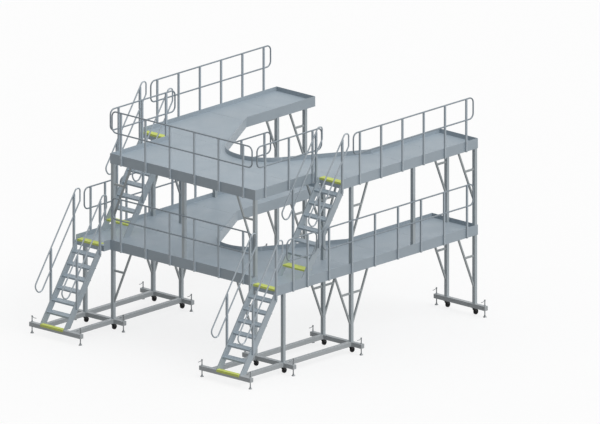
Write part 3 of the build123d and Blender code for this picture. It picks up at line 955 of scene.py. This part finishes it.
def thread(low, high):
    """A screw thread about Z, from one level up to another."""
    steps = 2 * int((high - low) / thread_pitch)
    row = thread_sides + 1
    points = []
    for step in range(steps + 1):
        radius = screw_radius - thread_depth * (1 - step % 2)
        for side in range(row):
            turn = 2 * pi * side / thread_sides
            height = low + (step / 2 + side / thread_sides) * thread_pitch
            points.append((radius * cos(turn), radius * sin(turn), min(height, high)))
    faces = []
    for step in range(steps):
        for first in range(step * row, step * row + thread_sides):
            faces.append([first, first + 1, first + row + 1, first + row])
    return points, faces


def crank():
    """A bent round crank that points along -Y from the head of a screw on Z."""
    top = jack_height - crank_radius
    low = top - crank_fall
    start = Vector((0, 0, top - crank_root))
    corner = Vector((0, -crank_arm, low))
    end = Vector((0, -crank_arm - crank_grip, low))
    line = [start] + bend(start, corner, end, crank_bend) + [end + Vector((0, crank_edge, 0)), end]
    radii = [crank_radius] * (len(line) - 1) + [crank_radius - crank_edge]
    return tube(line, radii, crank_sides, Vector((1, 0, 0)), False)


def jack(foot, direction):
    """A screw jack that stands on the floor, with its crank in a level direction."""
    thread_top = jack_height - head_height
    core = screw_radius - thread_depth
    base = [
        (foot_radius, 0),
        (foot_radius, 0.006),
        (foot_radius - 0.002, 0.009),
        (0.030, 0.016),
        (0.023, 0.024),
        (neck_radius, 0.033),
        (neck_radius, foot_height),
        (neck_radius - 0.002, foot_height + 0.002),
    ]
    head = [
        (head_radius - 0.002, thread_top),
        (head_radius, thread_top + 0.002),
        (head_radius, jack_height - 0.003),
        (head_radius - 0.0025, jack_height),
    ]
    screw = lathe([(core, foot_height), (core, thread_top)], thread_sides)
    parts = [
        lathe(base, foot_sides),
        screw,
        thread(foot_height, thread_top),
        lathe(head, head_sides),
        crank(),
    ]
    turn = Vector((0, -1, 0)).rotation_difference(direction).to_matrix().to_4x4()
    return moved(joined(parts), Matrix.Translation(foot) @ turn)


def jack_stand(node):
    """Where a jack stands and the way its crank points, from its node's box."""
    low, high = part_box(node)
    span = high - low
    half = min(span.x, span.y) / 2
    if span.y > span.x:
        return Vector((low.x + half, high.y - half, 0)), Vector((0, -1, 0))
    return Vector((low.x + half, low.y + half, 0)), Vector((1, 0, 0))


def bosses():
    """The bosses on the beams' ends and the flat rings under them, which guide the jacks' screws."""
    inner = screw_radius + screw_fit
    sides = ((beam_high.z, 1, upper_boss_height), (beam_low.z, -1, lower_boss_height))
    rings = []
    for z, direction, height in sides:
        ring = ring_lathe([
            (inner, 0),
            (boss_radius, 0),
            (boss_radius, height - boss_chamfer),
            (boss_radius - boss_chamfer, height),
            (inner, height),
        ], head_sides)
        for node in jack_nodes:
            foot, _ = jack_stand(node)
            rings.append(moved(ring, facing((foot.x, foot.y, z), (0, 0, direction))))
    return rings


def jacks():
    """Detailed screw jacks in place of every jack's node."""
    for node in jack_nodes:
        shape = jack(*jack_stand(node))
        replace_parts(piece(f"{node}_shape", shape, jack_steel, node), node)


def fittings():
    """What is welded or bolted to the frame: the posts' ends, beads, bolts and bosses."""
    for node, on_stairs in (("guard_posts", False), ("handrail_posts", True)):
        notches, welds, bolts = post_details(node, on_stairs)
        ends = joined(notches)
        piece(f"{node}_notches", ends, post_paint_with_painted_light, "dock_frame", bevel=notch_bevel)
        # The welds take the rails' darkened paint, which holds painted shade
        piece(f"{node}_welds", joined(welds), rail_paint, "dock_frame", round_smooth)
        piece(f"{node}_bolts", joined(bolts), zinc, "dock_frame")
    piece("frame_welds", joined(frame_welds()), column_paint_with_painted_light, "dock_frame", round_smooth)
    piece("tread_bolts", joined(tread_fixings()), zinc, "dock_frame")
    piece("caster_bolts", joined(caster_fixings()), zinc, "dock_frame")
    piece("jack_bosses", joined(bosses()), base_paint, "dock_frame")


rail_tubes()
casters()
jacks()
fittings()


# Camera, light and floor


def shot():
    """An upright view without perspective, at the photograph's angles."""
    data = bpy.data.cameras.new("camera")
    data.type = "ORTHO"
    data.ortho_scale = view_width
    data.clip_end = 4 * view_distance
    camera = bpy.data.objects.new("camera", data)
    turn = radians(view_azimuth)
    lift = radians(view_elevation)
    back = Vector((sin(turn) * cos(lift), -cos(turn) * cos(lift), sin(lift)))
    aim = Vector((0, column_low.y + view_depth_aim, view_height_aim))
    camera.location = aim + back * view_distance
    camera.rotation_mode = "QUATERNION"
    camera.rotation_quaternion = back.to_track_quat("Z", "Y")
    bpy.context.scene.collection.objects.link(camera)
    bpy.context.scene.camera = camera


def sun(name, strength, shadow):
    """A soft sun, with or without shadows."""
    data = bpy.data.lights.new(name, "SUN")
    data.energy = strength
    data.angle = radians(sun_angle)
    data.use_shadow = shadow
    light = bpy.data.objects.new(name, data)
    light.rotation_mode = "QUATERNION"
    light.rotation_quaternion = Vector(sun_direction).to_track_quat("Z", "Y")
    bpy.context.scene.collection.objects.link(light)


def seen_rays(tree):
    """One for the camera's own rays and for those it sees in gloss or through glass, otherwise zero."""
    path = tree.nodes.new("ShaderNodeLightPath")
    seen = path.outputs["Is Camera Ray"]
    for name in ("Is Glossy Ray", "Is Transmission Ray"):
        both = tree.nodes.new("ShaderNodeMath")
        both.operation = "MAXIMUM"
        tree.links.new(seen, both.inputs[0])
        tree.links.new(path.outputs[name], both.inputs[1])
        seen = both.outputs[0]
    return seen


def seen_value(tree, unseen, seen):
    """A number that differs between the rays that light the dock and those that are seen."""
    made = tree.nodes.new("ShaderNodeMapRange")
    made.inputs["To Min"].default_value = unseen
    made.inputs["To Max"].default_value = seen
    tree.links.new(seen_rays(tree), made.inputs["Value"])
    return made.outputs[0]


def sky():
    """An even pale sky that is seen as white."""
    world = bpy.data.worlds.new("studio")
    bpy.context.scene.world = world
    world.use_nodes = True
    tree = world.node_tree
    background = tree.nodes["Background"]
    background.inputs["Color"].default_value = (1, 1, 1, 1)
    tree.links.new(seen_value(tree, sky_strength, white), background.inputs["Strength"])


def mixed(tree, share, first, second):
    """A mix of two shaders."""
    made = tree.nodes.new("ShaderNodeMixShader")
    for value, socket in zip((share, first, second), made.inputs):
        tree.links.new(value, socket)
    return made.outputs[0]


def floor():
    """A pale floor that keeps the dock's shadow and can't be seen from below."""
    mesh = bpy.data.meshes.new("floor")
    reach = floor_reach
    corners = [(-reach, -reach, 0), (reach, -reach, 0), (reach, reach, 0), (-reach, reach, 0)]
    mesh.from_pydata(corners, [], [(0, 1, 2, 3)])
    obj = bpy.data.objects.new("floor", mesh)
    bpy.context.scene.collection.objects.link(obj)
    material = bpy.data.materials.new("floor")
    material.use_nodes = True
    tree = material.node_tree
    shader = tree.nodes["Principled BSDF"]
    shader.inputs["Roughness"].default_value = floor_roughness
    tree.links.new(seen_value(tree, floor_tone, white), shader.inputs["Base Color"])
    glow = tree.nodes.new("ShaderNodeEmission")
    share = seen_value(tree, 0.0, floor_glow)
    pale = mixed(tree, share, shader.outputs[0], glow.outputs[0])
    clear = tree.nodes.new("ShaderNodeBsdfTransparent")
    below = tree.nodes.new("ShaderNodeNewGeometry").outputs["Backfacing"]
    surface = mixed(tree, below, pale, clear.outputs[0])
    tree.links.new(surface, tree.nodes["Material Output"].inputs["Surface"])
    mesh.materials.append(material)


bpy.context.scene.view_settings.view_transform = "Standard"
shot()
sun("key", key_strength, True)
sun("fill", fill_strength, False)
sky()
floor()
